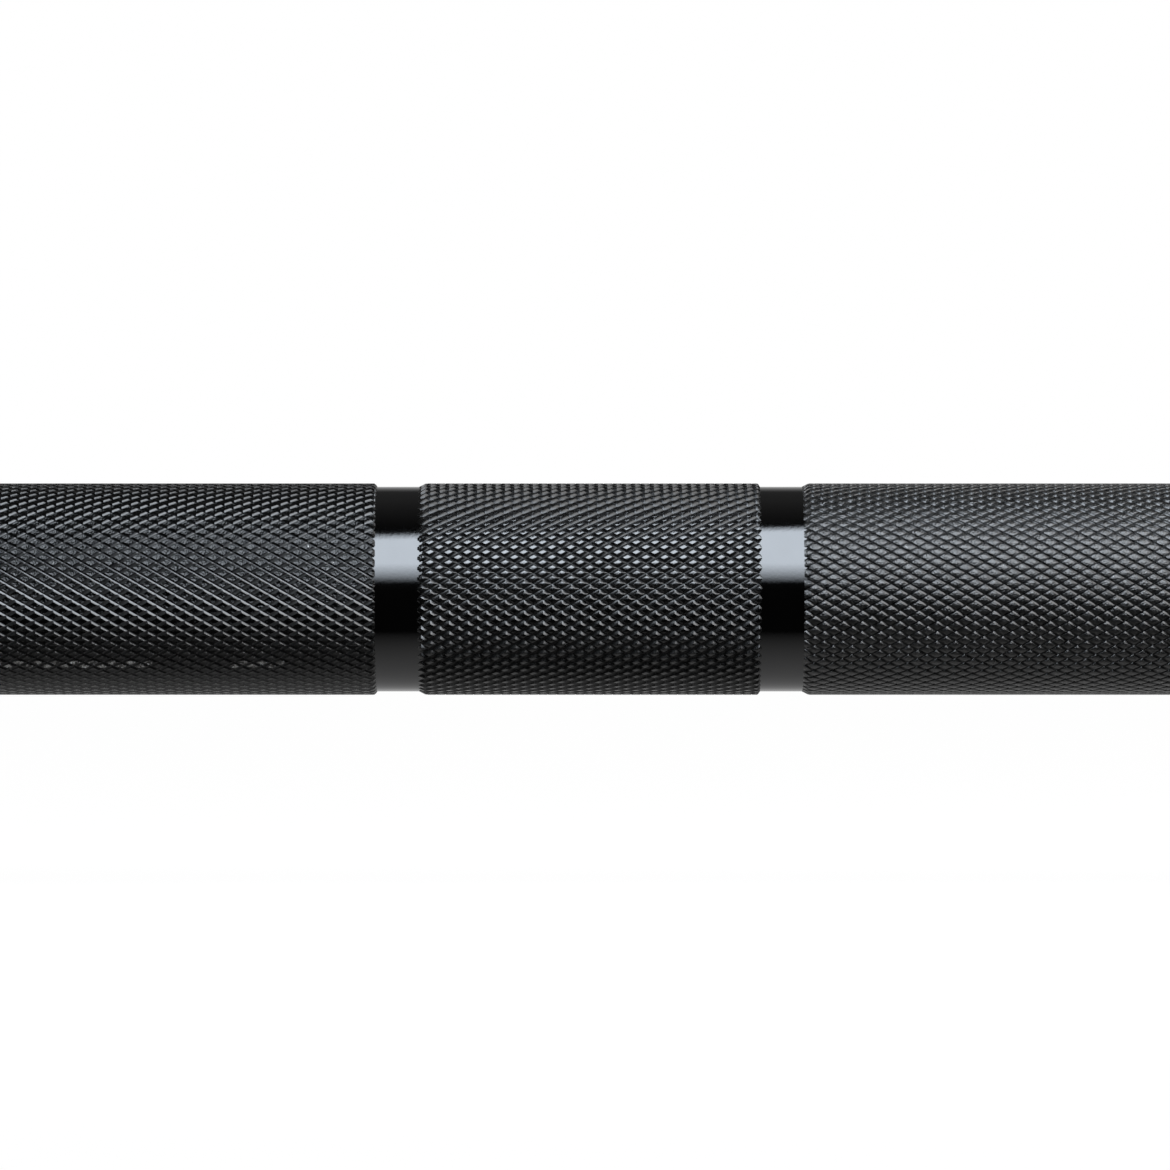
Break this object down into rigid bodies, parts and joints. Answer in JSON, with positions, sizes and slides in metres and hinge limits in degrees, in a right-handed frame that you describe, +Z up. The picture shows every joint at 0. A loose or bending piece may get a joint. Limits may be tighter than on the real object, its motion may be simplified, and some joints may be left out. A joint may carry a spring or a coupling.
{
  "type": "olympic barbell",
  "caption": "Long straight barbell: a black shaft with diamond-knurled grips and smooth ring marks, and a free-turning plate sleeve with a stop collar on each end.",
  "frame": {"origin": "middle of the shaft, on its axis", "axes": "+X along the bar, +Z up, -Y towards the viewer of the picture"},
  "size_m": [2.2, 0.078, 0.078],
  "materials": {
    "shaft_coating": "black coating over spring steel, glossy on the ring marks, satin on the knurl",
    "sleeve_chrome": "satin chrome with fine turned lines and plate rub marks",
    "collar_chrome": "satin chrome with fine turned lines",
    "seal_rubber": "matt black",
    "washer_steel": "ground",
    "bushing_bronze": "sintered bronze, oiled",
    "bearing_steel": "drawn and hardened",
    "cage_steel": "pressed",
    "roller_steel": "polished",
    "ring_steel": "phosphated spring steel",
    "cap_coating": "plain black coating"
  },
  "bodies": {
    "shaft": {"shaft": "shaft_coating", "right_inner_thrust_washer": "washer_steel", "right_outer_thrust_washer": "washer_steel", "right_shaft_snap_ring": "ring_steel", "left_inner_thrust_washer": "washer_steel", "left_outer_thrust_washer": "washer_steel", "left_shaft_snap_ring": "ring_steel"},
    "right_sleeve": {"right_sleeve_tube": "sleeve_chrome", "right_collar": "collar_chrome", "right_dust_seal": "seal_rubber", "right_inner_bushing": "bushing_bronze", "right_outer_bushing": "bushing_bronze", "right_inner_bearing_cup": "bearing_steel", "right_outer_bearing_cup": "bearing_steel", "right_end_cap": "cap_coating", "right_end_cap_ring": "ring_steel"},
    "right_inner_needle_cage": {"right_inner_bearing_cage": "cage_steel", "right_inner_bearing_rollers": "roller_steel"},
    "right_outer_needle_cage": {"right_outer_bearing_cage": "cage_steel", "right_outer_bearing_rollers": "roller_steel"},
    "left_sleeve": {"left_sleeve_tube": "sleeve_chrome", "left_collar": "collar_chrome", "left_dust_seal": "seal_rubber", "left_inner_bushing": "bushing_bronze", "left_outer_bushing": "bushing_bronze", "left_inner_bearing_cup": "bearing_steel", "left_outer_bearing_cup": "bearing_steel", "left_end_cap": "cap_coating", "left_end_cap_ring": "ring_steel"},
    "left_inner_needle_cage": {"left_inner_bearing_cage": "cage_steel", "left_inner_bearing_rollers": "roller_steel"},
    "left_outer_needle_cage": {"left_outer_bearing_cage": "cage_steel", "left_outer_bearing_rollers": "roller_steel"}
  },
  "joints": [
    {"name": "right_sleeve_spin", "type": "hinge", "parent": "shaft", "child": "right_sleeve", "pos_m": [0.877, 0, 0], "axis": [1, 0, 0], "continuous": true},
    {"name": "right_inner_needle_cage_spin", "type": "hinge", "parent": "shaft", "child": "right_inner_needle_cage", "pos_m": [0.7038, 0, 0], "axis": [1, 0, 0], "continuous": true},
    {"name": "right_outer_needle_cage_spin", "type": "hinge", "parent": "shaft", "child": "right_outer_needle_cage", "pos_m": [1.03725, 0, 0], "axis": [1, 0, 0], "continuous": true},
    {"name": "left_sleeve_spin", "type": "hinge", "parent": "shaft", "child": "left_sleeve", "pos_m": [-0.877, 0, 0], "axis": [1, 0, 0], "continuous": true},
    {"name": "left_inner_needle_cage_spin", "type": "hinge", "parent": "shaft", "child": "left_inner_needle_cage", "pos_m": [-0.7038, 0, 0], "axis": [1, 0, 0], "continuous": true},
    {"name": "left_outer_needle_cage_spin", "type": "hinge", "parent": "shaft", "child": "left_outer_needle_cage", "pos_m": [-1.03725, 0, 0], "axis": [1, 0, 0], "continuous": true}
  ],
  "couplings": [
    {"joint": "right_inner_needle_cage_spin", "follows": "right_sleeve_spin", "ratio": 0.54546},
    {"joint": "right_outer_needle_cage_spin", "follows": "right_sleeve_spin", "ratio": 0.54546},
    {"joint": "left_inner_needle_cage_spin", "follows": "left_sleeve_spin", "ratio": 0.54546},
    {"joint": "left_outer_needle_cage_spin", "follows": "left_sleeve_spin", "ratio": 0.54546}
  ]
}
